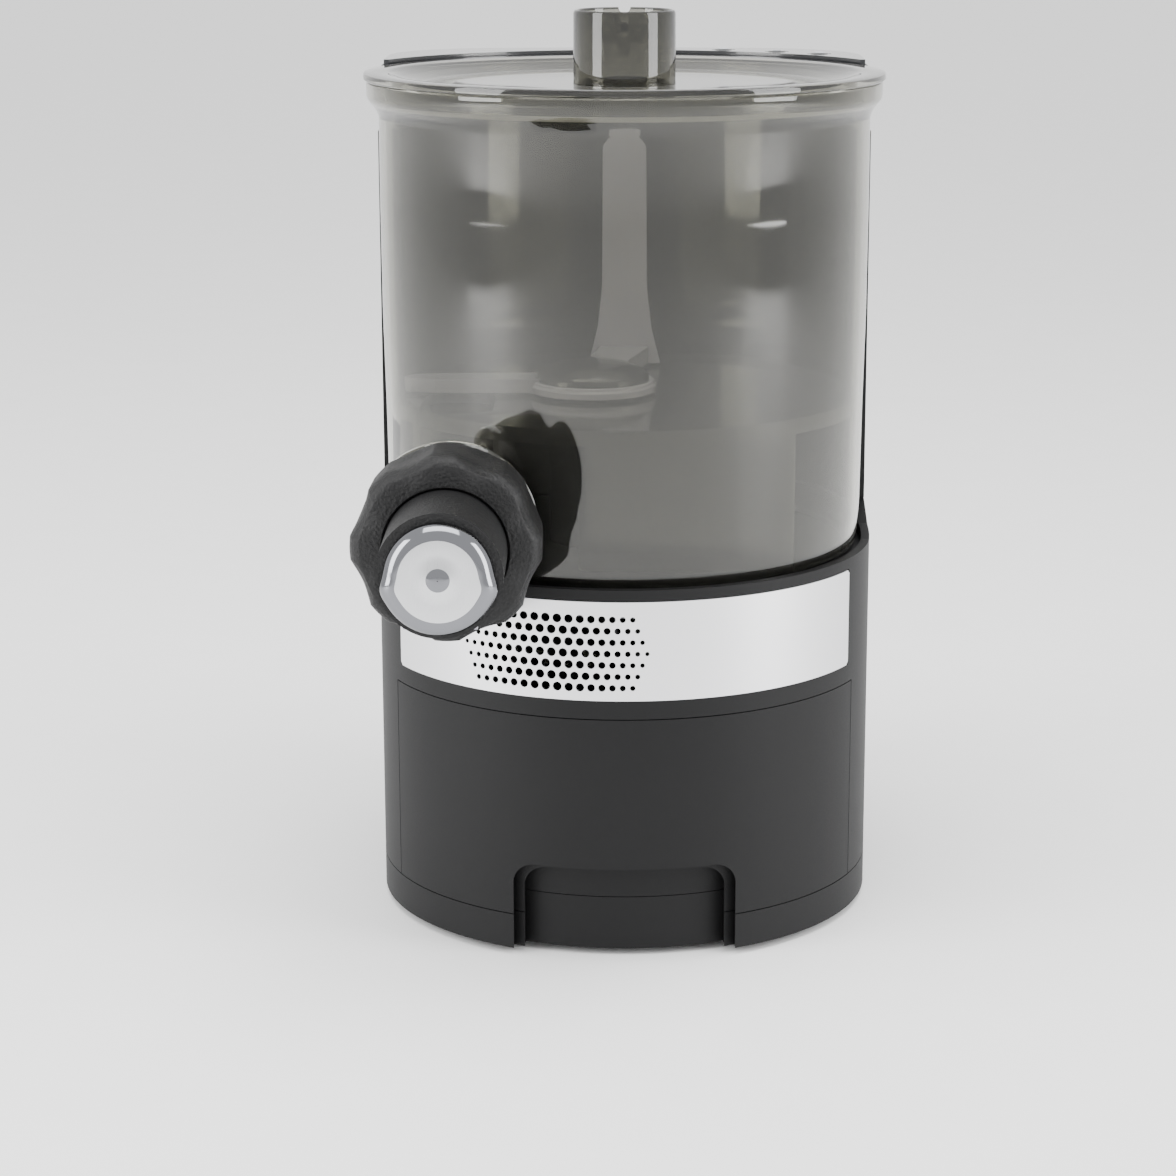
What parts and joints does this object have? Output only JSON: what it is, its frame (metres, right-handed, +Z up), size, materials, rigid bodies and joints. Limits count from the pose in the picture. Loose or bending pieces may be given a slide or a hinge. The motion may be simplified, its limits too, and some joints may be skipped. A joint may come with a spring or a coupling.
{
  "type": "electric pasta maker",
  "caption": "Counter-top pasta extruder: clear lift-off mixing bowl with lid and paddle on a motor base, screw-driven side extruder with a fluted lock nut.",
  "frame": {"origin": "middle of the footprint, on the surface under the feet", "axes": "+Z up, -Y towards the user and the extruder's outlet, +X to the user's right"},
  "size_m": [0.2162, 0.317, 0.3782],
  "materials": {
    "charcoal_plastic": "fine grain moulded ABS",
    "gloss_black": "gloss moulded",
    "steel_band": "satin",
    "machined_steel": "machined",
    "rubber": "moulded",
    "smoked_clear": "smoked clear plastic",
    "smoked_floor": "smoked, gloss",
    "nut_grain": "coarse grain",
    "paddle_grey": "polished",
    "gear_nylon": "natural nylon",
    "board_green": "solder mask",
    "brass": "sintered",
    "copper_core": "varnished windings",
    "seal_silicone": "silicone"
  },
  "bodies": {
    "base": {"base_tray": "charcoal_plastic", "rubber_feet": "rubber", "tray_screws": "machined_steel", "base_housing": "charcoal_plastic", "front_cover": "charcoal_plastic", "vent_band": "steel_band", "fan_frame": "gloss_black", "lower_plate": "machined_steel", "upper_plate": "machined_steel", "frame_bolts": "machined_steel", "frame_spacers": "machined_steel", "reduction_axle": "machined_steel", "shaft_bearings": "machined_steel", "shaft_seals": "rubber", "motor_can": "machined_steel", "motor_magnets": "machined_steel", "motor_screws": "machined_steel", "drive_turret": "smoked_floor", "tower_housing": "charcoal_plastic", "back_cover": "charcoal_plastic", "back_screws": "machined_steel", "cord_gland": "rubber", "control_panel": "gloss_black", "display_window": "gloss_black", "display_board": "board_green", "main_board": "board_green"},
    "fan": {"fan_rotor": "gloss_black"},
    "motor": {"motor_rotor": "copper_core", "motor_shaft": "machined_steel", "motor_pinion": "machined_steel"},
    "reduction": {"reduction_pinion": "machined_steel", "reduction_wheel": "gear_nylon"},
    "paddle_drive": {"paddle_wheel": "gear_nylon", "paddle_shaft": "machined_steel"},
    "auger_drive": {"auger_wheel": "gear_nylon", "auger_shaft": "machined_steel"},
    "start_button": {"start_button": "gloss_black"},
    "mode_button": {"mode_button": "gloss_black"},
    "time_button": {"time_button": "gloss_black"},
    "bowl": {"bowl_wall": "smoked_clear", "bowl_floor": "smoked_floor", "floor_bush": "brass", "auger_barrel": "smoked_floor", "auger_bush": "brass", "bevel_case": "smoked_floor"},
    "lid": {"lid": "smoked_clear", "lid_gasket": "seal_silicone", "feed_tube": "smoked_clear"},
    "paddle": {"mixing_paddle": "paddle_grey", "paddle_spindle": "gear_nylon", "paddle_cap": "gloss_black"},
    "auger": {"auger": "paddle_grey", "bevel_gear": "gear_nylon"},
    "bevel_pinion": {"bevel_pinion": "gear_nylon"},
    "die": {"die_body": "gloss_black", "die_plate": "paddle_grey", "die_seal": "seal_silicone", "die_cap": "steel_band", "cap_rivet": "steel_band"},
    "nut": {"lock_nut": "nut_grain"}
  },
  "joints": [
    {"name": "paddle_drive_spin", "type": "hinge", "parent": "base", "child": "paddle_drive", "pos_m": [-0.0135, 0.0255, 0.112], "axis": [0, 0, 1], "continuous": true},
    {"name": "auger_drive_spin", "type": "hinge", "parent": "base", "child": "auger_drive", "pos_m": [-0.069, 0.05021, 0.112], "axis": [0, 0, 1], "continuous": true},
    {"name": "reduction_spin", "type": "hinge", "parent": "base", "child": "reduction", "pos_m": [0.00266, 0.0699, 0.118], "axis": [0, 0, 1], "continuous": true},
    {"name": "motor_spin", "type": "hinge", "parent": "base", "child": "motor", "pos_m": [0.04354, 0.08478, 0.06], "axis": [0, 0, 1], "continuous": true},
    {"name": "fan_spin", "type": "hinge", "parent": "base", "child": "fan", "pos_m": [-0.02364, -0.05615, 0.131], "axis": [-0.2782, -0.9605, 0], "continuous": true},
    {"name": "start_press", "type": "slide", "parent": "base", "child": "start_button", "axis": [0, 0, -1], "range_m": [0, 0.001], "stiffness_N_per_m": 300, "springref_m": -0.001},
    {"name": "mode_press", "type": "slide", "parent": "base", "child": "mode_button", "axis": [0, 0, -1], "range_m": [0, 0.001], "stiffness_N_per_m": 300, "springref_m": -0.001},
    {"name": "time_press", "type": "slide", "parent": "base", "child": "time_button", "axis": [0, 0, -1], "range_m": [0, 0.001], "stiffness_N_per_m": 300, "springref_m": -0.001},
    {"name": "bowl_lift", "type": "slide", "parent": "base", "child": "bowl", "axis": [0, 0, 1], "range_m": [0, 0.12]},
    {"name": "lid_lift", "type": "slide", "parent": "bowl", "child": "lid", "axis": [0, 0, 1], "range_m": [0, 0.08]},
    {"name": "paddle_spin", "type": "hinge", "parent": "bowl", "child": "paddle", "pos_m": [-0.0135, 0.0255, 0.22], "axis": [0, 0, 1], "continuous": true},
    {"name": "auger_spin", "type": "hinge", "parent": "bowl", "child": "auger", "pos_m": [-0.069, -0.03, 0.18], "axis": [0, 1, 0], "continuous": true},
    {"name": "bevel_pinion_spin", "type": "hinge", "parent": "bowl", "child": "bevel_pinion", "pos_m": [-0.069, 0.05021, 0.165], "axis": [0, 0, 1], "continuous": true},
    {"name": "die_slide", "type": "slide", "parent": "bowl", "child": "die", "axis": [0, -1, 0], "range_m": [0, 0.0076]},
    {"name": "nut_turn", "type": "hinge", "parent": "die", "child": "nut", "pos_m": [-0.069, -0.09, 0.18], "axis": [0, -1, 0], "range_deg": [0, 540]}
  ],
  "couplings": [
    {"joint": "auger_drive_spin", "follows": "paddle_drive_spin", "ratio": -1.7},
    {"joint": "reduction_spin", "follows": "paddle_drive_spin", "ratio": -4.25},
    {"joint": "motor_spin", "follows": "paddle_drive_spin", "ratio": 20.4},
    {"joint": "paddle_spin", "follows": "paddle_drive_spin", "ratio": 1},
    {"joint": "bevel_pinion_spin", "follows": "paddle_drive_spin", "ratio": -1.7},
    {"joint": "auger_spin", "follows": "paddle_drive_spin", "ratio": 1.7},
    {"joint": "die_slide", "follows": "nut_turn", "m_per_rad": 0.00079577}
  ]
}
